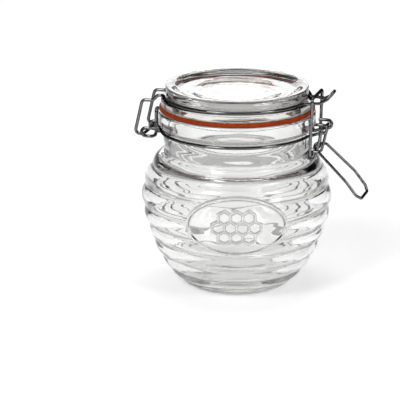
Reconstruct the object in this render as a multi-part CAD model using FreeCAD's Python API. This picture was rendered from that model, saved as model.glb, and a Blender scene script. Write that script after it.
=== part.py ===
"""Clip-top glass honey pot: a ribbed beehive jar with a recessed glass lid, a rubber
ring, and the wire hinge, tongue, bail and lever that clamp the lid down.

Millimetres, +Z up.  The origin is the middle of the jar's foot.  The oval plaque faces
-Y.  The wirework lies in its own upright plane, turned about Z by WIREWORK_TURN: in it,
u runs from the hinge to the clasp, w runs to the back and z runs up.
"""
import FreeCAD, Part
import math
import os
from FreeCAD import Vector

# ---- glass jar -------------------------------------------------------------------
BELLY_OUT = 6.9            # widest groove between two ribs, out from the collar
NECK_FOOT_HEIGHT = 75.2    # where the top rib runs into the neck
FOOT_RADIUS = 26.0         # flat ring that the jar stands on
RIB_BULGE = 0.24           # height of a rib over its own width
FOOT_RIB_BULGE = 0.17      # the same of the lowest rib, which stays above the foot
WALL = 3.0                 # glass behind a groove
FLOOR_THICKNESS = 6.0
FLOOR_EDGE = 2.0           # flat of the floor inside, in from the foot
PUNT_RADIUS = 19.0         # hollow under the foot
PUNT_HEIGHT = 2.2
NECK_HEIGHT = 23.8         # from the neck's foot to the collar's top
COLLAR_RADIUS = 43.6
COLLAR_HEIGHT = 8.4
COLLAR_STEP = 2.5          # collar out from the neck below it
COLLAR_ROUNDING = 1.3
COLLAR_FILLET = 0.8        # where the collar meets the neck
WIRE_SEAT_HEIGHT = 6.1     # straight part of the neck that carries the neck wire
NECK_TAPER = 1.7           # neck's foot in from its straight part
COLLAR_WALL = 7.6          # glass round the mouth, at the collar
# Inside of the shoulder: radius out from the mouth, height above the neck's foot.
THROAT = ((4.3, -5.0), (1.5, -2.2), (0.3, 1.8), (0.0, 7.0), (0.0, 13.0))

# Each groove: height over NECK_FOOT_HEIGHT, radius over BELLY_RADIUS.
GROOVES = (
    (0.070, 0.634),
    (0.145, 0.731),
    (0.242, 0.812),
    (0.358, 0.891),
    (0.474, 0.945),
    (0.605, 1.000),
    (0.759, 0.994),
    (0.901, 0.923),
)

# ---- plaque on the front of the belly --------------------------------------------
PLAQUE_WIDTH = 55.0
PLAQUE_HEIGHT = 34.0
PLAQUE_DROP = 28.9         # middle of the plaque, below the neck's foot
PLAQUE_RISE = 3.1          # face of the plaque, out from the groove line
BORDER_WIDTH = 1.7
BORDER_RISE = 0.8
CELL_SIZE = 6.6            # honeycomb cell, across its flats
CELL_WALL = 1.1
CELL_RISE = 0.6
CELL_ROWS = (3, 4, 3)

# ---- rubber ring and glass lid ---------------------------------------------------
RING_SEAT_EDGE = 1.0       # ring's inside out from the mouth
RING_INSET = 0.6           # ring's outside in from the collar
RING_THICKNESS = 2.5
RING_ROUNDING = 1.1
RING_INNER_ROUNDING = 0.4
FLANGE_INSET = 1.0         # lid's flange in from the ring's outside
FLANGE_THICKNESS = 4.3
RIM_STEP = 2.5             # lid's rim in from its flange
RIM_HEIGHT = 11.5          # lid's rim above the rubber ring
RIM_CREST_WIDTH = 3.4
PLUG_CLEARANCE = 1.0       # between the lid's plug and the mouth
PLUG_DEPTH = 3.4
PLUG_WIDTH = 3.0
PLUG_SLOPE = 0.3
LID_GLASS = 5.0
LID_UNDER_SLOPE = 1.5      # underside, from the plug to its middle dome
RECESS_DEPTH = 2.7
RECESS_SLOPE = 4.4
WELL_EDGE = 5.7            # well's edge in from the recess's slope
WELL_SLOPE = 2.0
WELL_DEPTH = 1.7
WIRE_GROOVE_DEPTH = 0.7
WIRE_GROOVE_LIP = 0.8

# ---- wirework --------------------------------------------------------------------
WIREWORK_TURN = -15.0      # degrees about Z from +X to the clasp
WIRE = 1.8                 # band, lid and bail wire
LEVER_WIRE = 1.6
WIRE_GAP = 0.3             # between wires that pass each other
SEAT_GAP = 0.08            # between a wire and the glass that it grips
EYE_GAP = 0.45             # round a wire that turns in an eye or hairpin
COIL_GAP = 0.1             # between the turns of the lever's eye
BAIL_GAP = 0.45            # between the bail and the lever's eyes
BEND = 2.0                 # usual bend of the wirework
RING_LEAD = 1.9            # straight lead of a ring into its first bend
NECK_WIRE_DROP = 2.8       # neck wire below the collar

PIVOT_OUT = 6.4            # lever's pivot, out from the collar
PIVOT_RISE = 4.7           # and above the neck wire
CRANK_STEP = (-5.8, -14.5)             # u, z from the lever's pivot to the bail's
BAIL_OUT = 1.7             # bail's bar, out from the collar
BAIL_RISE = 3.62           # and above the lid wire
HAIRPIN_OFFSET = 5.8       # w of the neck wire's hairpins
HAIRPIN_RUN = 5.1          # u from a hairpin's free end to the pivot
HAIRPIN_LEAD = 1.2
PIVOT_END = 4.3            # w where the lever's pivot pins stop
CRANK_BEND = 1.4
HANDLE_EXIT = 4.4          # run along u from the lever's eye to the handle's first bend
HANDLE_BEND = (20.2, -12.6)            # u, z from the bail's pivot
HANDLE_CORNER = (26.2, -20.2)
HANDLE_END = (28.2, -22.6)
HANDLE_HALF_WIDTH = 11.4
HANDLE_END_HALF_WIDTH = 7.4
HANDLE_CURVE = 6.0
EYE_EXIT_BEND = 1.6
FOOT_PIN_GAP = 0.4         # between the bail's foot pins and the crank
FOOT_BEND = 1.3
TOP_BEND = 2.2

TONGUE_OFFSET = 9.0        # w where the tongue's legs leave the lid
# Each corner of the tongue: u out from the lid wire, w, height above the lid wire.
TONGUE_LEG = ((3.72, 7.9, 0.0), (7.72, 6.2, 0.1), (11.42, 4.3, 2.1))
TONGUE_TIP = (14.12, 2.3, 5.7)
TONGUE_BEND = 2.0
TIP_TIGHTNESS = 0.85       # bend of the tongue's tip over its half width

HINGE_OUT = 6.8            # hinge pin, out from the collar
HINGE_DROP = 3.6           # and below the neck wire
HINGE_OFFSET = 12.0        # w of the lid wire's hinge arms
KNEE_OUT = 4.9             # arms' lowest corner, out from the pin
KNEE_BEND = 2.2
ELBOW_OUT = 0.5            # arms' upper corner, out from the pin
ELBOW_DROP = 3.18          # and below the lid wire
ELBOW_BEND = 2.4
DROP_BEND = 1.6
HINGE_DROP_START = 1.7     # run from the flange's edge to the arms' drop
HINGE_DROP_RUN = 3.0
PIN_GAP = 0.1              # half the gap between the wire's ends in the hinge pin
NECK_EYE_OFFSET = 8.0      # w of the neck wire's eyes round the hinge pin
NECK_EYE_LEAD = 2.2
LOOP_OUT = 2.4             # upright loop between the eyes, out from the collar
LOOP_HALF_WIDTH = 2.0
LOOP_DROP = 2.6            # loop's top below the collar's top
LOOP_TIGHTNESS = 0.99      # bend of the loop's top over its half width

# ---- sizes that follow from the ones above ---------------------------------------
BELLY_RADIUS = COLLAR_RADIUS + BELLY_OUT
GROOVE_POINTS = tuple((BELLY_RADIUS * r, NECK_FOOT_HEIGHT * h) for h, r in GROOVES)
COLLAR_TOP = NECK_FOOT_HEIGHT + NECK_HEIGHT
COLLAR_LOW = COLLAR_TOP - COLLAR_HEIGHT
WIRE_SEAT_LOW = COLLAR_LOW - WIRE_SEAT_HEIGHT
WIRE_SEAT_RADIUS = COLLAR_RADIUS - COLLAR_STEP
NECK_FOOT_RADIUS = WIRE_SEAT_RADIUS - NECK_TAPER
MOUTH_RADIUS = COLLAR_RADIUS - COLLAR_WALL
FLOOR_RADIUS = FOOT_RADIUS - FLOOR_EDGE
PLAQUE_CENTRE = NECK_FOOT_HEIGHT - PLAQUE_DROP
RING_INNER = MOUTH_RADIUS + RING_SEAT_EDGE
RING_OUTER = COLLAR_RADIUS - RING_INSET
RING_TOP = COLLAR_TOP + RING_THICKNESS
FLANGE_RADIUS = RING_OUTER - FLANGE_INSET
FLANGE_TOP = RING_TOP + FLANGE_THICKNESS
RIM_RADIUS = FLANGE_RADIUS - RIM_STEP
RIM_TOP = RING_TOP + RIM_HEIGHT
WELL_RADIUS = RIM_RADIUS - RIM_CREST_WIDTH - RECESS_SLOPE - WELL_EDGE
LID_WIRE_HEIGHT = FLANGE_TOP + WIRE / 2 + SEAT_GAP
LID_WIRE_RADIUS = RIM_RADIUS + WIRE / 2 + SEAT_GAP
WIRE_GROOVE_RADIUS = RIM_RADIUS - WIRE_GROOVE_DEPTH
NECK_WIRE_HEIGHT = COLLAR_LOW - NECK_WIRE_DROP
NECK_WIRE_RADIUS = WIRE_SEAT_RADIUS + WIRE / 2 + SEAT_GAP
EYE_RADIUS = WIRE + EYE_GAP
PIVOT = (COLLAR_RADIUS + PIVOT_OUT, NECK_WIRE_HEIGHT + PIVOT_RISE)
BAIL_PIVOT = (PIVOT[0] + CRANK_STEP[0], PIVOT[1] + CRANK_STEP[1])
BAIL_TOP = (COLLAR_RADIUS + BAIL_OUT, LID_WIRE_HEIGHT + BAIL_RISE)
HAIRPIN_END = PIVOT[0] - HAIRPIN_RUN
HINGE_PIN = (-(COLLAR_RADIUS + HINGE_OUT), NECK_WIRE_HEIGHT - HINGE_DROP)
HINGE_KNEE = HINGE_PIN[0] - KNEE_OUT
HINGE_ELBOW = (HINGE_PIN[0] - ELBOW_OUT, LID_WIRE_HEIGHT - ELBOW_DROP)
LOOP_U = -(COLLAR_RADIUS + LOOP_OUT)
LOOP_TOP = COLLAR_TOP - LOOP_DROP
CRANK_OFFSET = HAIRPIN_OFFSET + WIRE / 2 + WIRE_GAP + LEVER_WIRE / 2
COIL_PITCH = LEVER_WIRE + COIL_GAP
HANDLE_OFFSET = CRANK_OFFSET + COIL_PITCH
BAIL_OFFSET = HANDLE_OFFSET + LEVER_WIRE / 2 + BAIL_GAP + WIRE / 2


# ---- outlines --------------------------------------------------------------------
def rz(radius, height):
    return Vector(radius, 0, height)


def revolved(edges):
    face = Part.Face(Part.Wire(Part.__sortEdges__(edges)))
    return face.revolve(Vector(0, 0, 0), Vector(0, 0, 1), 360)


def outline(points):
    """Straight edges through (radius, height, rounding) corners, each corner rounded by
    an arc of its rounding; closed back to the first corner."""
    edges = []
    joints = []
    count = len(points)
    for i, (radius, height, rounding) in enumerate(points):
        corner = rz(radius, height)
        before = (rz(*points[i - 1][:2]) - corner).normalize()
        after = (rz(*points[(i + 1) % count][:2]) - corner).normalize()
        if rounding <= 0:
            joints.append((corner, corner))
            continue
        half = before.getAngle(after) / 2
        reach = rounding / math.tan(half)
        start = corner + before * reach
        end = corner + after * reach
        middle_way = (before + after).normalize()
        centre = corner + middle_way * (rounding / math.sin(half))
        middle = centre - middle_way * rounding
        edges.append(Part.Arc(start, middle, end).toShape())
        joints.append((start, end))
    for i in range(count):
        start = joints[i][1]
        end = joints[(i + 1) % count][0]
        if start.distanceToPoint(end) > 1e-6:
            edges.append(Part.LineSegment(start, end).toShape())
    return edges


def rib_arc(low, high, bulge):
    """Arc that bulges outward from one groove to the next."""
    chord = high - low
    outward = Vector(chord.z, 0, -chord.x).normalize()
    crest = (low + high) * 0.5 + outward * (chord.Length * bulge)
    return Part.Arc(low, crest, high)


# ---- jar -------------------------------------------------------------------------
def ribbed_side():
    """Edges of the ribbed outside, from the foot up to the neck."""
    knots = [rz(FOOT_RADIUS, 0)]
    knots += [rz(r, z) for r, z in GROOVE_POINTS]
    knots.append(rz(NECK_FOOT_RADIUS, NECK_FOOT_HEIGHT))
    bulges = [FOOT_RIB_BULGE] + [RIB_BULGE] * len(GROOVE_POINTS)
    return [rib_arc(low, high, bulge).toShape()
            for low, high, bulge in zip(knots, knots[1:], bulges)]


def jar_outside():
    edges = ribbed_side()
    axis_foot = rz(0, PUNT_HEIGHT)
    punt_edge = rz(PUNT_RADIUS, 0)
    punt_middle = rz(PUNT_RADIUS * 0.55, PUNT_HEIGHT * 0.78)
    edges.append(Part.Arc(axis_foot, punt_middle, punt_edge).toShape())
    edges.append(Part.LineSegment(punt_edge, rz(FOOT_RADIUS, 0)).toShape())
    neck = [
        rz(NECK_FOOT_RADIUS, NECK_FOOT_HEIGHT),
        rz(WIRE_SEAT_RADIUS, WIRE_SEAT_LOW),
        rz(WIRE_SEAT_RADIUS, COLLAR_LOW - COLLAR_FILLET),
        rz(WIRE_SEAT_RADIUS + COLLAR_FILLET, COLLAR_LOW),
        rz(COLLAR_RADIUS - COLLAR_ROUNDING, COLLAR_LOW),
    ]
    for low, high in zip(neck, neck[1:]):
        edges.append(Part.LineSegment(low, high).toShape())
    edges += quarter(COLLAR_RADIUS, COLLAR_LOW, COLLAR_ROUNDING, 1)
    edges.append(Part.LineSegment(
        rz(COLLAR_RADIUS, COLLAR_LOW + COLLAR_ROUNDING),
        rz(COLLAR_RADIUS, COLLAR_TOP - COLLAR_ROUNDING)).toShape())
    edges += quarter(COLLAR_RADIUS, COLLAR_TOP, COLLAR_ROUNDING, -1)
    edges.append(Part.LineSegment(
        rz(COLLAR_RADIUS - COLLAR_ROUNDING, COLLAR_TOP), rz(0, COLLAR_TOP)).toShape())
    edges.append(Part.LineSegment(rz(0, COLLAR_TOP), axis_foot).toShape())
    return revolved(edges)


def quarter(radius, height, rounding, way):
    """Rounded outer corner at (radius, height); way is 1 for a lower corner, -1 for an upper."""
    side = rz(radius, height + way * rounding)
    flat = rz(radius - rounding, height)
    lean = rounding * (1 - math.sqrt(0.5))
    middle = rz(radius - lean, height + way * lean)
    return [Part.Arc(flat, middle, side).toShape()]


def jar_cavity():
    """Smooth inside that follows the groove line one wall further in."""
    inner = [rz(r - WALL, z) for r, z in GROOVE_POINTS if z > FLOOR_THICKNESS + 1.5]
    floor_edge = rz(FLOOR_RADIUS, FLOOR_THICKNESS)
    inner += [rz(MOUTH_RADIUS + out, NECK_FOOT_HEIGHT + up) for out, up in THROAT]
    throat = inner[-1]
    side = Part.BSplineCurve()
    side.interpolate([floor_edge] + inner)
    top = rz(MOUTH_RADIUS, COLLAR_TOP + 1)
    edges = [
        side.toShape(),
        Part.LineSegment(throat, top).toShape(),
        Part.LineSegment(top, rz(0, COLLAR_TOP + 1)).toShape(),
        Part.LineSegment(rz(0, COLLAR_TOP + 1), rz(0, FLOOR_THICKNESS)).toShape(),
        Part.LineSegment(rz(0, FLOOR_THICKNESS), floor_edge).toShape(),
    ]
    return revolved(edges)


def belly_shell(rise):
    """Solid of the smooth belly that stands out from the groove line by rise."""
    side = Part.BSplineCurve()
    side.interpolate([rz(r + rise, z) for r, z in GROOVE_POINTS])
    low = side.StartPoint
    high = side.EndPoint
    edges = [
        side.toShape(),
        Part.LineSegment(high, rz(0, high.z)).toShape(),
        Part.LineSegment(rz(0, high.z), rz(0, low.z)).toShape(),
        Part.LineSegment(rz(0, low.z), low).toShape(),
    ]
    return revolved(edges)


def front_prism(face):
    """The face, drawn in the XZ plane, extruded through the front of the belly."""
    face.translate(Vector(0, -2 * BELLY_RADIUS, PLAQUE_CENTRE))
    return face.extrude(Vector(0, 1.3 * BELLY_RADIUS, 0))


def oval(inset):
    across = PLAQUE_WIDTH / 2 - inset
    up = PLAQUE_HEIGHT / 2 - inset
    ellipse = Part.Ellipse(Vector(across, 0, 0), Vector(0, 0, up), Vector(0, 0, 0))
    return Part.Face(Part.Wire(ellipse.toShape()))


def hexagon(across_flats, x, z):
    radius = across_flats / math.sqrt(3)
    corners = []
    for k in range(7):
        turn = math.radians(60 * k + 30)
        corners.append(Vector(x + radius * math.cos(turn), 0, z + radius * math.sin(turn)))
    return Part.Face(Part.makePolygon(corners))


def cell_centres():
    row_step = CELL_SIZE * math.sqrt(3) / 2
    top = row_step * (len(CELL_ROWS) - 1) / 2
    for row, cells in enumerate(CELL_ROWS):
        for k in range(cells):
            yield (k - (cells - 1) / 2) * CELL_SIZE, top - row * row_step


def plaque_pieces():
    plate = belly_shell(PLAQUE_RISE).common(front_prism(oval(0)))
    border = front_prism(oval(0)).cut(front_prism(oval(BORDER_WIDTH)))
    border = belly_shell(PLAQUE_RISE + BORDER_RISE).common(border)
    centres = list(cell_centres())
    outer = [front_prism(hexagon(CELL_SIZE + CELL_WALL, x, z)) for x, z in centres]
    comb = outer[0].fuse(outer[1:])
    comb = comb.cut([front_prism(hexagon(CELL_SIZE - CELL_WALL, x, z)) for x, z in centres])
    comb = belly_shell(PLAQUE_RISE + CELL_RISE).common(comb)
    return [plate, border, comb]


def one_solid(shape):
    shape = shape.removeSplitter()
    return shape.Solids[0]


def jar():
    outside = jar_outside()
    body = outside.fuse(plaque_pieces())
    return one_solid(body.cut(jar_cavity()))


# ---- rubber ring and lid ---------------------------------------------------------
def seal():
    return revolved(outline([
        (RING_INNER, COLLAR_TOP, RING_INNER_ROUNDING),
        (RING_OUTER, COLLAR_TOP, RING_ROUNDING),
        (RING_OUTER, RING_TOP, RING_ROUNDING),
        (RING_INNER, RING_TOP, RING_INNER_ROUNDING),
    ]))


def lid():
    plug = MOUTH_RADIUS - PLUG_CLEARANCE
    recess = RIM_TOP - RECESS_DEPTH
    well = recess - WELL_DEPTH
    crest_inner = RIM_RADIUS - RIM_CREST_WIDTH
    floor_edge = crest_inner - RECESS_SLOPE
    under = well - LID_GLASS
    return revolved(outline([
        (0, under, 0),
        (WELL_RADIUS - 2, under, 3.0),
        (WELL_RADIUS + 2, under + WELL_DEPTH, 3.0),
        (plug - PLUG_WIDTH - LID_UNDER_SLOPE, under + WELL_DEPTH, 1.2),
        (plug - PLUG_WIDTH, RING_TOP - PLUG_DEPTH, 1.2),
        (plug, RING_TOP - PLUG_DEPTH, 1.2),
        (plug + PLUG_SLOPE, RING_TOP, 0.3),
        (FLANGE_RADIUS, RING_TOP, 1.2),
        (FLANGE_RADIUS, FLANGE_TOP, 1.4),
        (WIRE_GROOVE_RADIUS, FLANGE_TOP, 0.4),
        (WIRE_GROOVE_RADIUS, LID_WIRE_HEIGHT + WIRE / 2, 0.3),
        (RIM_RADIUS, LID_WIRE_HEIGHT + WIRE / 2 + WIRE_GROOVE_LIP, 0.6),
        (RIM_RADIUS, RIM_TOP, 1.6),
        (crest_inner, RIM_TOP, 1.0),
        (floor_edge, recess, 2.0),
        (WELL_RADIUS, recess, 0.9),
        (WELL_RADIUS - WELL_SLOPE, well, 1.2),
        (0, well, 0),
    ]))


# ---- wires -----------------------------------------------------------------------
def wire_solid(route, thickness):
    """Round wire along a route of (point, bend radius): straight runs joined by tangent
    arcs, each arc no larger than the two runs beside it allow."""
    points = [p for p, _ in route]
    edges = []
    at = points[0]
    for i in range(1, len(route) - 1):
        corner, bend = route[i]
        before = (points[i - 1] - corner).normalize()
        after = (points[i + 1] - corner).normalize()
        turn = math.pi - before.getAngle(after)
        if turn < 1e-4:
            continue
        reach = bend * math.tan(turn / 2)
        start = corner + before * reach
        end = corner + after * reach
        inward = (before + after).normalize()
        middle = corner + inward * (bend / math.cos(turn / 2) - bend)
        if at.distanceToPoint(start) > 1e-4:
            edges.append(Part.LineSegment(at, start).toShape())
        else:
            start = at
        edges.append(Part.Arc(start, middle, end).toShape())
        at = end
    edges.append(Part.LineSegment(at, points[-1]).toShape())
    spine = Part.Wire(edges)
    along = (points[1] - points[0]).normalize()
    profile = Part.Face(Part.Wire(Part.makeCircle(thickness / 2, points[0], along)))
    solid = spine.makePipe(profile)
    print("wire", round(spine.Length, 1), "volume ratio",
          round(solid.Volume / (math.pi * thickness ** 2 / 4 * spine.Length), 4),
          "valid", solid.isValid())
    solid.rotate(Vector(0, 0, 0), Vector(0, 0, 1), WIREWORK_TURN)
    return solid


def ring_exit(radius, lead, offset):
    """Angle on a ring at which a wire leaves it, when a tangent run of length lead ends
    at the distance offset from the u axis."""
    return math.asin(offset / math.hypot(radius, lead)) + math.atan2(lead, radius)


def ring_route(radius, height, first, last, lead_in, lead_out, bend):
    """Corners of the ring part of a wire: the end of its lead-in, the corners whose arcs
    make the ring itself from angle first to angle last, and the start of its lead-out."""
    way = 1 if last > first else -1
    steps = max(6, math.ceil(abs(last - first) / math.radians(22)))
    step = (last - first) / steps

    def place(angle, along):
        out = Vector(math.cos(angle), math.sin(angle), 0)
        side = Vector(-math.sin(angle), math.cos(angle), 0)
        return out * radius + side * along + Vector(0, 0, height)

    route = [(place(first, -way * lead_in), bend)]
    for k in range(steps):
        angle = first + step * (k + 0.5)
        corner = place(angle, 0)
        stretch = 1 / math.cos(step / 2)
        corner = Vector(corner.x * stretch, corner.y * stretch, corner.z)
        route.append((corner, radius))
    route.append((place(last, way * lead_out), bend))
    return route


def mirrored(route):
    """The same route on the other side of the u axis, run through backwards."""
    return [(Vector(p.x, -p.y, p.z), bend) for p, bend in reversed(route)]


def neck_wire():
    """One wire: a hairpin at each side of the clasp, the band round the neck, and an eye
    at each side of the hinge with an upright loop between them."""
    front = -HAIRPIN_OFFSET
    u, z = PIVOT
    r = EYE_RADIUS
    route = [
        (Vector(HAIRPIN_END, front, z + r), 0),
        (Vector(u + r, front, z + r), r),
        (Vector(u + r, front, z - r), r),
        (Vector(u - HAIRPIN_LEAD, front, z - r), BEND),
    ]
    first = -ring_exit(NECK_WIRE_RADIUS, RING_LEAD, HAIRPIN_OFFSET)
    last = -math.pi + ring_exit(NECK_WIRE_RADIUS, RING_LEAD, NECK_EYE_OFFSET)
    route += ring_route(NECK_WIRE_RADIUS, NECK_WIRE_HEIGHT, first, last,
                        RING_LEAD, RING_LEAD, BEND)
    front = -NECK_EYE_OFFSET
    u, z = HINGE_PIN
    route += [
        (Vector(u + NECK_EYE_LEAD, front, z + r), BEND),
        (Vector(u - r, front, z + r), r),
        (Vector(u - r, front, z - r), r),
        (Vector(LOOP_U, front, z - r), BEND),
        (Vector(LOOP_U, -LOOP_HALF_WIDTH, z - r), BEND),
        (Vector(LOOP_U, -LOOP_HALF_WIDTH, LOOP_TOP), LOOP_HALF_WIDTH * LOOP_TIGHTNESS),
    ]
    return wire_solid(route + mirrored(route), WIRE)


def lid_wire():
    """One wire, its ends butting in the hinge pin: pin, hinge arm, ring round the lid,
    tongue, and back the other side."""
    front = -HINGE_OFFSET
    u, z = HINGE_PIN
    edge = -math.sqrt(FLANGE_RADIUS ** 2 - HINGE_OFFSET ** 2) - HINGE_DROP_START
    elbow_u, elbow_z = HINGE_ELBOW
    route = [
        (Vector(u, -PIN_GAP, z), 0),
        (Vector(u, front, z), BEND),
        (Vector(HINGE_KNEE, front, z), KNEE_BEND),
        (Vector(elbow_u, front, elbow_z), ELBOW_BEND),
        (Vector(edge - HINGE_DROP_RUN, front, elbow_z), DROP_BEND),
        (Vector(edge, front, LID_WIRE_HEIGHT), DROP_BEND),
    ]
    first = -math.pi + ring_exit(LID_WIRE_RADIUS, RING_LEAD, HINGE_OFFSET)
    last = -ring_exit(LID_WIRE_RADIUS, RING_LEAD, TONGUE_OFFSET)
    route += ring_route(LID_WIRE_RADIUS, LID_WIRE_HEIGHT, first, last,
                        RING_LEAD, RING_LEAD, BEND)
    for out, side, rise in TONGUE_LEG:
        corner = Vector(LID_WIRE_RADIUS + out, -side, LID_WIRE_HEIGHT + rise)
        route.append((corner, TONGUE_BEND))
    out, side, rise = TONGUE_TIP
    tip = Vector(LID_WIRE_RADIUS + out, -side, LID_WIRE_HEIGHT + rise)
    route.append((tip, side * TIP_TIGHTNESS))
    return wire_solid(route + mirrored(route), WIRE)


def lever():
    """One wire: pivot pin, crank, eye round the bail's foot, handle leg, and back."""
    r = EYE_RADIUS
    a = Vector(PIVOT[0], 0, PIVOT[1])
    b = Vector(BAIL_PIVOT[0], 0, BAIL_PIVOT[1])
    down = b - a
    tangent = math.asin(r / down.Length)
    heading = math.atan2(down.z, down.x) + tangent
    start = heading + math.pi / 2
    end = math.pi / 2
    sweep = start - end
    while sweep < math.pi:
        sweep += 2 * math.pi
    steps = 6
    step = sweep / steps
    route = [
        (Vector(a.x, -PIVOT_END, a.z), 0),
        (Vector(a.x, -CRANK_OFFSET, a.z), CRANK_BEND),
    ]
    for k in range(steps):
        angle = start - step * (k + 0.5)
        reach = r / math.cos(step / 2)
        w = CRANK_OFFSET + COIL_PITCH * (k + 0.5) / steps
        route.append((Vector(b.x + reach * math.cos(angle), -w, b.z + reach * math.sin(angle)), r))
    route += [
        (Vector(b.x + HANDLE_EXIT, -HANDLE_OFFSET, b.z + r), EYE_EXIT_BEND),
        (b + Vector(HANDLE_BEND[0], -HANDLE_HALF_WIDTH, HANDLE_BEND[1]), HANDLE_CURVE),
        (b + Vector(HANDLE_CORNER[0], -HANDLE_HALF_WIDTH, HANDLE_CORNER[1]), BEND),
        (b + Vector(HANDLE_END[0], -HANDLE_END_HALF_WIDTH, HANDLE_END[1]), BEND),
    ]
    return wire_solid(route + mirrored(route), LEVER_WIRE)


def bail():
    """One wire: foot pins in the lever's eyes, two upright legs and the bar on top."""
    u, z = BAIL_PIVOT
    pin_end = CRANK_OFFSET - LEVER_WIRE / 2 - FOOT_PIN_GAP
    route = [
        (Vector(u, -pin_end, z), 0),
        (Vector(u, -BAIL_OFFSET, z), FOOT_BEND),
        (Vector(BAIL_TOP[0], -BAIL_OFFSET, BAIL_TOP[1]), TOP_BEND),
    ]
    return wire_solid(route + mirrored(route), WIRE)


# ---- files -----------------------------------------------------------------------
NODES = {
    "jar": jar,
    "seal": seal,
    "lid": lid,
    "lid_wire": lid_wire,
    "neck_wire": neck_wire,
    "lever": lever,
    "bail": bail,
}

os.makedirs("parts", exist_ok=True)
for name, make in NODES.items():
    shape = make()
    print(name, "solids", len(shape.Solids), "volume", round(shape.Volume / 1000, 2), "cm3",
          "valid", shape.isValid())
    shape.exportStep(os.path.join("parts", name + ".step"))
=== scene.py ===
"""Looks of the clip-top glass honey pot: clear pressed glass, a rubber ring and bright wire.

The jar and the lid are replaced by glass meshes turned from the solids' profiles, softened.
The ring and the wires keep their CAD meshes and get materials. The front is towards -y.
"""
import math

import bpy
import numpy as np
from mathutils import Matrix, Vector


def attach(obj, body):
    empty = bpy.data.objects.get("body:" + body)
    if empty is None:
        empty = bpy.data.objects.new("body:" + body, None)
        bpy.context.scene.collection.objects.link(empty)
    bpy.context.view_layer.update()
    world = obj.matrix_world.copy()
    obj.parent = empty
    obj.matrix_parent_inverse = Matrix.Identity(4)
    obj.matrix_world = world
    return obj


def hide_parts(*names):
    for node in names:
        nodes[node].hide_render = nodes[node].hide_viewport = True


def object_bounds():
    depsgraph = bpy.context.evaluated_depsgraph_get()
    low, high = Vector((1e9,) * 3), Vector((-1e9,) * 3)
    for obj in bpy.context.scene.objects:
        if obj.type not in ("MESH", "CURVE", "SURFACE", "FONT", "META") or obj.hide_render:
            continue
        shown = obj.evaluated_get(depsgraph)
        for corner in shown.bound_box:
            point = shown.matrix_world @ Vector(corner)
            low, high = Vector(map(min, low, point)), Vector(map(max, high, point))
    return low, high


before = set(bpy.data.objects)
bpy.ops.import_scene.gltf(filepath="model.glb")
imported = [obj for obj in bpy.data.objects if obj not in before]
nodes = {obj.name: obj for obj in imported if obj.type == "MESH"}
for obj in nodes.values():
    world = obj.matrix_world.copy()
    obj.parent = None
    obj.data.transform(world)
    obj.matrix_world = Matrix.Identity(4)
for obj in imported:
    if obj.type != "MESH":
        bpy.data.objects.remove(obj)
cad_low, cad_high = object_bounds()

# ---- camera (metres; the lens and its sensor in millimetres) -----------------------
TARGET = Vector((0.0, 0.0, 0.057))
ELEVATION = math.radians(16.0)
DISTANCE = 1.5
LENS = 243.0
SENSOR_WIDTH = 36.0
CLIP_START = 0.05
CLIP_END = 20.0
AIM_LEFT = 0.0204   # the camera aims this far to the left of the target and below it
AIM_DOWN = 0.01006

back = Vector((0.0, -math.cos(ELEVATION), math.sin(ELEVATION)))
up = Vector((0.0, math.sin(ELEVATION), math.cos(ELEVATION)))
camera_data = bpy.data.cameras.new("camera")
camera_data.lens = LENS
camera_data.sensor_width = SENSOR_WIDTH
camera_data.clip_start = CLIP_START
camera_data.clip_end = CLIP_END
camera = bpy.data.objects.new("camera", camera_data)
camera.location = TARGET + back * DISTANCE
aim = TARGET - Vector((AIM_LEFT, 0.0, 0.0)) - up * AIM_DOWN
camera.rotation_mode = "QUATERNION"
camera.rotation_quaternion = (aim - camera.location).to_track_quat("-Z", "Y")
bpy.context.collection.objects.link(camera)
bpy.context.scene.camera = camera
bpy.context.scene.view_settings.view_transform = "Standard"


# ---- materials ---------------------------------------------------------------------
def rgba(red, green, blue):
    return (red, green, blue, 1.0)


def grey(value):
    return rgba(value, value, value)


IOR = 1.5
JAR_GLASS = (rgba(0.957, 0.958, 0.953), rgba(0.925, 0.927, 0.922))
LID_GLASS = (rgba(0.945, 0.935, 0.90), rgba(0.905, 0.895, 0.86))
# painted shade: grey mixed into the glass along the plaque's edges, in place of the dark lines
# that refraction draws there
RELIEF_EDGE_SHADE = rgba(0.42, 0.43, 0.43)
RUBBER = (rgba(0.34, 0.042, 0.007), rgba(0.50, 0.072, 0.012))
WIRE = (rgba(0.14, 0.14, 0.143), rgba(0.25, 0.25, 0.254))
WIRE_ROUGHNESS = (grey(0.09), grey(0.16))
WIRE_EDGE = grey(0.10)

# a Mix node has its colour sockets after those for numbers and vectors
MIX_A, MIX_B, MIX_RESULT = 6, 7, 2


def new_material(name):
    material = bpy.data.materials.new(name)
    material.use_nodes = True
    tree = material.node_tree
    return material, tree, tree.nodes["Principled BSDF"]


def add_bump(tree, shader, scale, detail, strength, distance, stretch=(1.0, 1.0, 1.0)):
    """Procedural unevenness in the piece's own frame; returns the noise that drives it."""
    coordinates = tree.nodes.new("ShaderNodeTexCoord")
    mapping = tree.nodes.new("ShaderNodeMapping")
    mapping.inputs["Scale"].default_value = stretch
    noise = tree.nodes.new("ShaderNodeTexNoise")
    noise.inputs["Scale"].default_value = scale
    noise.inputs["Detail"].default_value = detail
    bump = tree.nodes.new("ShaderNodeBump")
    bump.inputs["Strength"].default_value = strength
    bump.inputs["Distance"].default_value = distance
    tree.links.new(coordinates.outputs["Object"], mapping.inputs["Vector"])
    tree.links.new(mapping.outputs["Vector"], noise.inputs["Vector"])
    tree.links.new(noise.outputs["Fac"], bump.inputs["Height"])
    tree.links.new(bump.outputs["Normal"], shader.inputs["Normal"])
    return noise


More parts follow.
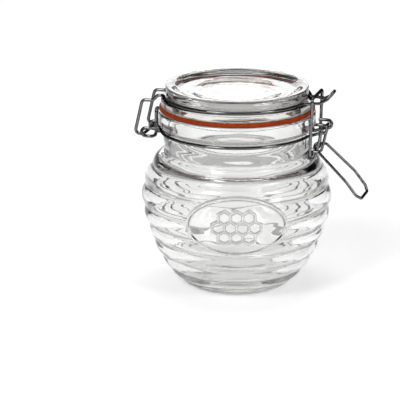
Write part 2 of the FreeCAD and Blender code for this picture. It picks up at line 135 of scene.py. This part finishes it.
def ramp_between(tree, noise, socket, places, colours):
    """Drives a socket from one colour to the other as the noise goes between two places."""
    ramp = tree.nodes.new("ShaderNodeValToRGB")
    for element, place, colour in zip(ramp.color_ramp.elements, places, colours):
        element.position = place
        element.color = colour
    tree.links.new(noise.outputs["Fac"], ramp.inputs["Fac"])
    tree.links.new(ramp.outputs["Color"], socket)


def glass_material(name, colours):
    """Clear glass, slightly uneven, with painted grey shade where the mesh marks the plaque's
    edges.
    """
    material, tree, shader = new_material(name)
    shader.inputs["Roughness"].default_value = 0.0
    shader.inputs["IOR"].default_value = IOR
    shader.inputs["Transmission Weight"].default_value = 1.0
    noise = add_bump(tree, shader, scale=30.0, detail=1.0, strength=0.35, distance=0.001,
                     stretch=(1.0, 1.0, 3.0))
    # painted shade: the mesh's mask mixes grey into the glass colour along the plaque's edges
    relief_shade = tree.nodes.new("ShaderNodeAttribute")
    relief_shade.attribute_name = "relief_shade"
    edge_shade = tree.nodes.new("ShaderNodeMix")
    edge_shade.data_type = "RGBA"
    tree.links.new(relief_shade.outputs["Fac"], edge_shade.inputs["Factor"])
    ramp_between(tree, noise, edge_shade.inputs[MIX_A], (0.35, 0.75), colours)
    edge_shade.inputs[MIX_B].default_value = RELIEF_EDGE_SHADE
    tree.links.new(edge_shade.outputs[MIX_RESULT], shader.inputs["Base Color"])
    return material


def rubber_material():
    material, tree, shader = new_material("orange_rubber")
    shader.inputs["Roughness"].default_value = 0.6
    shader.inputs["Specular IOR Level"].default_value = 0.1
    shader.inputs["IOR"].default_value = IOR
    noise = add_bump(tree, shader, scale=420.0, detail=3.0, strength=0.15, distance=0.0002)
    ramp_between(tree, noise, shader.inputs["Base Color"], (0.3, 0.75), RUBBER)
    return material


def steel_material():
    material, tree, shader = new_material("bright_wire")
    shader.inputs["Metallic"].default_value = 1.0
    shader.inputs["Specular Tint"].default_value = WIRE_EDGE
    noise = add_bump(tree, shader, scale=900.0, detail=2.0, strength=0.08, distance=0.0001)
    ramp_between(tree, noise, shader.inputs["Base Color"], (0.3, 0.8), WIRE)
    ramp_between(tree, noise, shader.inputs["Roughness"], (0.3, 0.8), WIRE_ROUGHNESS)
    return material


def dress(name, material):
    mesh = nodes[name].data
    mesh.materials.clear()
    mesh.materials.append(material)


glass = glass_material("pressed_glass", JAR_GLASS)
lid_glass = glass_material("lid_glass", LID_GLASS)
rubber = rubber_material()
steel = steel_material()
dress("seal", rubber)
for wire in ("lid_wire", "neck_wire", "lever", "bail"):
    dress(wire, steel)


# ---- lines and turned meshes (millimetres until the mesh is made) ------------------
MM_PER_METRE = 1000.0

# waves of pressed glass: share of the size, waves round the axis, height for one radian,
# and how many times the phase counts
WAVES = ((0.5, 2, 11.0, 1), (0.3, 5, -6.0, 2), (0.2, 9, 3.1, 3), (0.15, 14, -2.3, 1))
# and rings that wander up and down: share, radians in a millimetre of height, two swings
RING_SHARE, RING_RATE, RING_SLOW_SWING, RING_FAST_SWING = 0.12, 2.6, 2.2, 1.3


def smooth_step(value):
    value = np.clip(value, 0.0, 1.0)
    return value * value * (3.0 - 2.0 * value)


def spline_through(points, steps):
    """Catmull-Rom curve through (r, z) points, steps to a span."""
    pts = [np.array(p, float) for p in points]
    pts = [2 * pts[0] - pts[1]] + pts + [2 * pts[-1] - pts[-2]]
    out = []
    for i in range(1, len(pts) - 2):
        a, b, c, d = pts[i - 1:i + 3]
        for k in range(steps):
            t = k / steps
            out.append(0.5 * (2 * b + (c - a) * t + (2 * a - 5 * b + 4 * c - d) * t * t
                              + (3 * b - a - 3 * c + d) * t ** 3))
    out.append(pts[-2])
    return np.array(out)


def bulge_arc(low, high, bulge, steps):
    """Points of the arc that bulges outward between two grooves, without its end."""
    low, high = np.array(low, float), np.array(high, float)
    chord = high - low
    length = float(np.hypot(*chord))
    outward = np.array([chord[1], -chord[0]]) / length
    sag = bulge * length
    radius = (length * length / 4 + sag * sag) / (2 * sag)
    half = math.asin(min(1.0, length / (2 * radius)))
    centre = (low + high) / 2 - outward * (radius - sag)
    along = chord / length
    turns = [-half + 2 * half * k / steps for k in range(steps)]
    return [centre + radius * (outward * math.cos(t) + along * math.sin(t)) for t in turns]


def even(points, step):
    """The same line with its points evenly spaced."""
    points = np.array(points)
    run = np.concatenate([[0.0], np.cumsum(np.hypot(*np.diff(points, axis=0).T))])
    count = max(2, int(round(run[-1] / step)) + 1)
    at = np.linspace(0.0, run[-1], count)
    return np.stack([np.interp(at, run, points[:, 0]), np.interp(at, run, points[:, 1])], 1)


def soften(points, width, step):
    """Rounds the corners of an evenly spaced line; its ends stay."""
    reach = max(1, int(round(width / step)))
    padded = np.concatenate([np.repeat(points[:1], reach, 0), points,
                             np.repeat(points[-1:], reach, 0)])
    kernel = np.ones(2 * reach + 1) / (2 * reach + 1)
    out = np.stack([np.convolve(padded[:, i], kernel, "valid") for i in (0, 1)], 1)
    out[0], out[-1] = points[0], points[-1]
    return out


def unevenness(angle, z, size, phase):
    """Slow waves of pressed glass in millimetres, at z or, on a flat floor, at the radius."""
    total = 0.0
    for share, waves, height, phases in WAVES:
        total = total + share * np.sin(waves * angle + z / height + phases * phase)
    swing = (RING_RATE * z + RING_SLOW_SWING * np.sin(2 * angle + phase)
             + RING_FAST_SWING * np.sin(5 * angle))
    return size * (total + RING_SHARE * np.sin(swing))


def skin(name, angle, rings, first, last, relief_shade):
    """Closed mesh through rings of radius and height, from one pole's height to the other's."""
    count = len(angle)
    points = [(0.0, 0.0, first / MM_PER_METRE)]
    for radius, height in rings:
        x = radius * np.cos(angle) / MM_PER_METRE
        y = radius * np.sin(angle) / MM_PER_METRE
        points += list(zip(x.tolist(), y.tolist(), (height / MM_PER_METRE).tolist()))
    points.append((0.0, 0.0, last / MM_PER_METRE))
    faces = [(0, 1 + (k + 1) % count, 1 + k) for k in range(count)]
    for i in range(len(rings) - 1):
        low = 1 + i * count
        high = low + count
        for k in range(count):
            after = (k + 1) % count
            faces.append((low + k, low + after, high + after, high + k))
    top = 1 + (len(rings) - 1) * count
    faces += [(top + k, top + (k + 1) % count, len(points) - 1) for k in range(count)]
    mesh = bpy.data.meshes.new(name)
    mesh.from_pydata(points, [], faces)
    mesh.polygons.foreach_set("use_smooth", [True] * len(mesh.polygons))
    # the mask of painted grey shade along the plaque's edges, which the glass material reads
    relief_shade = relief_shade + [0.0] * (len(points) - len(relief_shade))
    mesh.attributes.new("relief_shade", "FLOAT", "POINT").data.foreach_set("value", relief_shade)
    mesh.update()
    return mesh


# ---- pressed glass jar (millimetres) -----------------------------------------------
BELLY_RADIUS = 50.5
NECK_FOOT_HEIGHT = 75.2
NECK_FOOT_RADIUS = 39.4
# the grooves between the ribs: shares of the neck foot's height and of the belly's radius
GROOVES = ((0.070, 0.634), (0.145, 0.731), (0.242, 0.812), (0.358, 0.891),
           (0.474, 0.945), (0.605, 1.000), (0.759, 0.994), (0.901, 0.923))
RIB_BULGE = 0.24        # sag of a rib's arc as a share of its chord
FOOT_RIB_BULGE = 0.17
FOOT_RADIUS = 26.0
PUNT_RADIUS = 19.0
PUNT_HEIGHT = 2.2
FLOOR_THICKNESS = 6.0
FLOOR_INSET = 2.0       # the inside's lowest corner, in from the foot
FLOOR_CLEARANCE = 1.5   # the wall starts at the first groove this far above the floor
FLOOR_RINGS = (20.0, 15.0, 10.0, 5.0)
WALL = 3.0
WIRE_SEAT_RADIUS = 41.1
WIRE_SEAT_LOW = 84.5
COLLAR_RADIUS = 43.6
COLLAR_LOW = 90.6
COLLAR_TOP = 98.98
COLLAR_CHAMFER = 0.8
MOUTH_RADIUS = 36.0
MOUTH_DEPTH = 8.0
# the inside from the shoulder to the mouth: out from the mouth's radius, up from the neck's foot
THROAT = ((4.3, -5.0), (1.5, -2.2), (0.3, 1.8), (0.0, 7.0), (0.0, 13.0))

PLAQUE_HALF_WIDTH = 27.5
PLAQUE_HALF_HEIGHT = 17.0
PLAQUE_CENTRE = 46.3
PLAQUE_RISE = 3.0
BORDER_WIDTH = 1.7
BORDER_RISE = 0.8
CELL_SIZE = 6.6
CELL_WALL = 1.1
CELL_RISE = 0.6
CELL_ROWS = (3, 4, 3)
HALF_ROOT_3 = math.sqrt(3) / 2
EDGE_SOFTNESS = 0.3
LINE_WIDTH = 0.45       # of the painted grey shade along the plaque's edges
LINE_REACH = 1.0        # how far outside the plaque the painted shade may lie
FAR_OUTSIDE = -9.0      # stands for the jar's back, where there is no plaque
LEAST_SLOPE = 1e-3

SIDE_STEP = 0.36
GROOVE_SOFTNESS = 1.5
ARC_STEPS = 24
PUNT_STEPS = 10
INSIDE_STEPS = 8
GROOVE_LINE_STEPS = 16
FRONT_HALF_ANGLE = math.radians(38.0)   # the mesh is finer here, for the plaque
FRONT_COUNT = 230
REST_COUNT = 190

# size and phase of the waves, and where they fade out
OUTSIDE_WAVES, OUTSIDE_PHASE = 0.16, 0.7
INSIDE_WAVES, INSIDE_PHASE = 0.25, 2.1
FLOOR_WAVES, FLOOR_PHASE = 0.15, 1.3
OUTSIDE_INSET = 0.2     # keeps the waves inside the solid's box
WAVES_START = 1.0
WAVES_FADE_IN = 6.0
WAVES_PAST_NECK_FOOT = 5.0
WAVES_FADE_OUT = 10.0

grooves = [(BELLY_RADIUS * r, NECK_FOOT_HEIGHT * h) for h, r in GROOVES]
knots = [(FOOT_RADIUS, 0.0)] + grooves + [(NECK_FOOT_RADIUS, NECK_FOOT_HEIGHT)]
groove_line = spline_through(knots, GROOVE_LINE_STEPS)


def jar_profile():
    """(r, z) points of the punt, the outside, the inside from the mouth down, and the floor."""
    punt = [(PUNT_RADIUS * k / PUNT_STEPS, PUNT_HEIGHT * (1 - (k / PUNT_STEPS) ** 2))
            for k in range(1, PUNT_STEPS + 1)]
    side = []
    for i, (low, high) in enumerate(zip(knots, knots[1:])):
        side += bulge_arc(low, high, FOOT_RIB_BULGE if i == 0 else RIB_BULGE, ARC_STEPS)
    side.append(np.array(knots[-1]))
    side += [(WIRE_SEAT_RADIUS, WIRE_SEAT_LOW),
             (WIRE_SEAT_RADIUS, COLLAR_LOW - COLLAR_CHAMFER),
             (WIRE_SEAT_RADIUS + COLLAR_CHAMFER, COLLAR_LOW),
             (COLLAR_RADIUS, COLLAR_LOW), (COLLAR_RADIUS, COLLAR_TOP),
             (MOUTH_RADIUS, COLLAR_TOP), (MOUTH_RADIUS, COLLAR_TOP - MOUTH_DEPTH)]
    side = soften(even(side, SIDE_STEP), GROOVE_SOFTNESS, SIDE_STEP)
    inner = [(FOOT_RADIUS - FLOOR_INSET, FLOOR_THICKNESS)]
    inner += [(r - WALL, z) for r, z in grooves if z > FLOOR_THICKNESS + FLOOR_CLEARANCE]
    inner += [(MOUTH_RADIUS + out, NECK_FOOT_HEIGHT + rise) for out, rise in THROAT]
    inner = spline_through(inner, INSIDE_STEPS)[::-1]
    floor = [(r, FLOOR_THICKNESS) for r in FLOOR_RINGS]
    return np.array(punt), side, inner, np.array(floor)


def hexagon_edge(x, z):
    """Distance of each point from the nearest edge of the honeycomb's cells."""
    row_step = CELL_SIZE * HALF_ROOT_3
    top = row_step * (len(CELL_ROWS) - 1) / 2
    best = np.full(x.shape, np.inf)
    for row, cells in enumerate(CELL_ROWS):
        for k in range(cells):
            dx = x - (k - (cells - 1) / 2) * CELL_SIZE
            dz = z - (top - row * row_step)
            reach = np.maximum.reduce([abs(dx), abs(dx / 2 + dz * HALF_ROOT_3),
                                       abs(dx / 2 - dz * HALF_ROOT_3)])
            best = np.minimum(best, abs(reach - CELL_SIZE / 2))
    return best


def plaque_relief(radius, angle, z):
    """Outside radius with the raised plaque on the front, and the mask of painted shade, 0 to 1
    along its edges.
    """
    belly = np.interp(z, groove_line[:, 1], groove_line[:, 0])
    x = (belly + PLAQUE_RISE) * np.cos(angle)
    above = z - PLAQUE_CENTRE
    oval = np.hypot(x / PLAQUE_HALF_WIDTH, above / PLAQUE_HALF_HEIGHT)
    slope = (np.hypot(x / PLAQUE_HALF_WIDTH ** 2, above / PLAQUE_HALF_HEIGHT ** 2)
             / np.maximum(oval, LEAST_SLOPE))
    inside = (1.0 - oval) / np.maximum(slope, LEAST_SLOPE)
    inside = np.where(np.sin(angle) < 0, inside, FAR_OUTSIDE)
    plate = belly + PLAQUE_RISE
    plate = plate + BORDER_RISE * smooth_step((BORDER_WIDTH - inside) / EDGE_SOFTNESS)
    wall = CELL_WALL / 2 - hexagon_edge(x, above)
    plate = plate + CELL_RISE * smooth_step(wall / EDGE_SOFTNESS + 0.5)
    mask = smooth_step(inside / EDGE_SOFTNESS)
    off_edge = np.minimum(np.minimum(abs(wall), abs(inside)), abs(inside - BORDER_WIDTH))
    # painted grey shade along the edges of the plaque, its border and its cells, standing in for
    # dark refraction lines
    line = np.exp(-(off_edge / LINE_WIDTH) ** 2) * (inside > -LINE_REACH)
    return radius + (np.maximum(plate, radius) - radius) * mask, line


def jar_mesh():
    punt, side, inner, floor = jar_profile()
    front = -math.pi / 2
    fine = np.linspace(front - FRONT_HALF_ANGLE, front + FRONT_HALF_ANGLE, FRONT_COUNT,
                       endpoint=False)
    coarse = np.linspace(front + FRONT_HALF_ANGLE, 1.5 * math.pi - FRONT_HALF_ANGLE, REST_COUNT,
                         endpoint=False)
    angle = np.concatenate([fine, coarse])
    rings = []
    relief_shade = [0.0]
    for r, z in punt:
        rings.append((np.full(angle.shape, r), np.full(angle.shape, z)))
        relief_shade += [0.0] * len(angle)
    for r, z in side:
        radius = np.full(angle.shape, r)
        height = np.full(angle.shape, z)
        line = np.zeros(angle.shape)
        if WAVES_START < z < NECK_FOOT_HEIGHT:
            fade = min(1.0, (z - WAVES_START) / WAVES_FADE_IN)
            waves = unevenness(angle, z, OUTSIDE_WAVES * fade, OUTSIDE_PHASE)
            radius = radius + waves - OUTSIDE_INSET * fade
            radius, line = plaque_relief(radius, angle, height)
        rings.append((radius, height))
        relief_shade += line.tolist()
    for r, z in inner:
        below = NECK_FOOT_HEIGHT + WAVES_PAST_NECK_FOOT - z
        fade = min(1.0, max(0.0, below / WAVES_FADE_OUT))
        waves = unevenness(angle, z, INSIDE_WAVES * fade, INSIDE_PHASE)
        rings.append((r + waves, np.full(angle.shape, z)))
    for r, z in floor:
        waves = unevenness(angle, r, FLOOR_WAVES, FLOOR_PHASE)
        rings.append((np.full(angle.shape, r), z + waves))
    return skin("jar_glass", angle, rings, PUNT_HEIGHT, FLOOR_THICKNESS, relief_shade)


# ---- glass lid (millimetres) -------------------------------------------------------
LID_UNDERSIDE = 103.6
LID_TOP = 113.0
LID_WELL = 108.6
LID_INNERMOST = 0.5     # radius of the ring next to the axis
# flange, rim and plug from the underside outward, then the well from the rim inward
LID_OUTSIDE = ((LID_INNERMOST, LID_UNDERSIDE), (24.0, LID_UNDERSIDE), (28.0, 105.3),
               (30.5, 105.3), (32.0, 98.1), (35.0, 98.1), (35.3, 101.5), (42.0, 101.5),
               (42.0, 105.8), (38.8, 105.8), (38.8, 107.68), (39.5, 108.48),
               (39.5, LID_TOP), (37.8, LID_TOP))
LID_RECESS = ((37.8, LID_TOP), (36.1, 112.9), (31.7, 110.3), (27.0, 110.1), (20.0, 108.7),
              (LID_INNERMOST, LID_WELL))
LID_STEP = 0.3
LID_EDGE_SOFTNESS = 0.6
LID_WELL_SOFTNESS = 1.8
LID_COUNT = 300
LID_WAVES, LID_PHASE = 0.09, 0.4
LID_WAVES_ABOVE = 102.0
LID_WAVES_WITHIN = 34.0
LID_WAVES_FADE = 15.0   # they fade towards the axis from here


def lid_mesh():
    outside = soften(even(LID_OUTSIDE, LID_STEP), LID_EDGE_SOFTNESS, LID_STEP)
    recess = soften(even(LID_RECESS, LID_STEP), LID_WELL_SOFTNESS, LID_STEP)
    angle = np.linspace(0.0, 2 * math.pi, LID_COUNT, endpoint=False)
    rings = []
    for r, z in np.concatenate([outside, recess[1:]]):
        wavy = z > LID_WAVES_ABOVE and r < LID_WAVES_WITHIN
        fade = min(1.0, r / LID_WAVES_FADE) if wavy else 0.0
        waves = unevenness(angle, r, LID_WAVES * fade, LID_PHASE)
        rings.append((np.full(angle.shape, r), z + waves))
    return skin("lid_glass", angle, rings, LID_UNDERSIDE, LID_WELL, [])


def add_glass(name, mesh, material):
    piece = bpy.data.objects.new(name + "_glass", mesh)
    mesh.materials.append(material)
    bpy.context.collection.objects.link(piece)
    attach(piece, "pot")
    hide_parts(name)


add_glass("jar", jar_mesh(), glass)
add_glass("lid", lid_mesh(), lid_glass)

# ---- studio (metres) ---------------------------------------------------------------
FLOOR_COLOUR = grey(0.9)
FLOOR_GLOW = 0.5
FLOOR_REACH = 6.0
CARD_COLOUR = grey(0.10)
CARD_PLACE = Vector((0.42, 0.12, 0.25))   # of the right card; the left one mirrors it
CARD_HALF_DEPTH = 0.30
CARD_HALF_HEIGHT = 0.25
# the world's strength goes from one pair to the other; the first number of each pair is a
# direction's share towards the back less SKY_TILT times its share upward, the second a strength
SKY_TILT = 0.8
SKY_FROM, SKY_TO = (-0.3, 0.03), (0.6, 0.6)
LEAST_SKY = 0.08


def math_node(tree, operation, *values):
    """Output of a Math node whose inputs are sockets or plain numbers."""
    node = tree.nodes.new("ShaderNodeMath")
    node.operation = operation
    for socket, value in zip(node.inputs, values):
        if isinstance(value, float):
            socket.default_value = value
        else:
            tree.links.new(value, socket)
    return node.outputs[0]


def shown_ray(tree):
    """1 for what the camera, a reflection or the glass sees, 0 for light on the object."""
    path = tree.nodes.new("ShaderNodeLightPath")
    total = path.outputs["Is Camera Ray"]
    for other in ("Is Glossy Ray", "Is Transmission Ray"):
        total = math_node(tree, "MAXIMUM", total, path.outputs[other])
    return total


def plane(name, centre, across, along, material):
    corners = [centre - across - along, centre + across - along,
               centre + across + along, centre - across + along]
    mesh = bpy.data.meshes.new(name)
    mesh.from_pydata([tuple(c) for c in corners], [], [(0, 1, 2, 3)])
    mesh.materials.append(material)
    piece = bpy.data.objects.new(name, mesh)
    bpy.context.collection.objects.link(piece)
    return piece


def floor_material():
    material, tree, shader = new_material("floor")
    shader.inputs["Base Color"].default_value = FLOOR_COLOUR
    shader.inputs["Roughness"].default_value = 0.9
    shader.inputs["Specular IOR Level"].default_value = 0.0
    shader.inputs["Emission Color"].default_value = grey(1.0)
    glow = math_node(tree, "MULTIPLY", shown_ray(tree), FLOOR_GLOW)
    tree.links.new(glow, shader.inputs["Emission Strength"])
    return material


def card_material():
    material, tree, shader = new_material("dark_card")
    shader.inputs["Base Color"].default_value = CARD_COLOUR
    shader.inputs["Roughness"].default_value = 1.0
    shader.inputs["Specular IOR Level"].default_value = 0.0
    return material


def add_cards():
    """Dark cards at both sides for the glass and the wires, unseen by the camera, no shadow."""
    card = card_material()
    for name, side in (("card_left", -1), ("card_right", 1)):
        place = Vector((side * CARD_PLACE.x, CARD_PLACE.y, CARD_PLACE.z))
        piece = plane(name, place, Vector((0, CARD_HALF_DEPTH, 0)),
                      Vector((0, 0, CARD_HALF_HEIGHT)), card)
        piece.visible_camera = False
        piece.visible_shadow = False


def add_world():
    """White to the camera, dim on the object; glass and metal see it lightest behind and below."""
    world = bpy.data.worlds.new("studio")
    bpy.context.scene.world = world
    world.use_nodes = True
    tree = world.node_tree
    tree.nodes.clear()
    output = tree.nodes.new("ShaderNodeOutputWorld")
    background = tree.nodes.new("ShaderNodeBackground")
    tree.links.new(background.outputs[0], output.inputs["Surface"])
    direction = tree.nodes.new("ShaderNodeTexCoord")
    split = tree.nodes.new("ShaderNodeSeparateXYZ")
    tree.links.new(direction.outputs["Generated"], split.inputs[0])
    back_less_up = math_node(tree, "MULTIPLY_ADD", split.outputs["Z"], -SKY_TILT,
                             split.outputs["Y"])
    ramp = tree.nodes.new("ShaderNodeMapRange")
    ramp.inputs["From Min"].default_value, ramp.inputs["To Min"].default_value = SKY_FROM
    ramp.inputs["From Max"].default_value, ramp.inputs["To Max"].default_value = SKY_TO
    tree.links.new(back_less_up, ramp.inputs["Value"])
    seen = math_node(tree, "MULTIPLY", ramp.outputs[0], shown_ray(tree))
    level = math_node(tree, "MAXIMUM", seen, LEAST_SKY)
    camera_ray = tree.nodes.new("ShaderNodeLightPath").outputs["Is Camera Ray"]
    backdrop = math_node(tree, "MAXIMUM", level, camera_ray)
    tree.links.new(backdrop, background.inputs["Strength"])


def lamp(name, place, size, watts):
    data = bpy.data.lights.new(name, "AREA")
    data.shape = "RECTANGLE"
    data.size, data.size_y = size
    data.energy = watts
    piece = bpy.data.objects.new(name, data)
    piece.location = place
    piece.rotation_mode = "QUATERNION"
    piece.rotation_quaternion = (TARGET - Vector(place)).to_track_quat("-Z", "Y")
    bpy.context.collection.objects.link(piece)
    return piece


plane("floor", Vector((0, 0, cad_low.z)), Vector((FLOOR_REACH, 0, 0)),
      Vector((0, FLOOR_REACH, 0)), floor_material())
add_cards()
add_world()
lamp("key", place=(-0.7, -0.9, 1.1), size=(0.5, 0.7), watts=9.0)
lamp("fill", place=(0.9, -0.7, 0.8), size=(0.4, 0.6), watts=4.5)
lamp("top", place=(0.0, 0.3, 1.4), size=(0.8, 0.8), watts=5.0)
back_lamp = lamp("back", place=(-0.06, 1.5, 0.55), size=(0.9, 0.45), watts=3.3)
back_lamp.visible_transmission = False
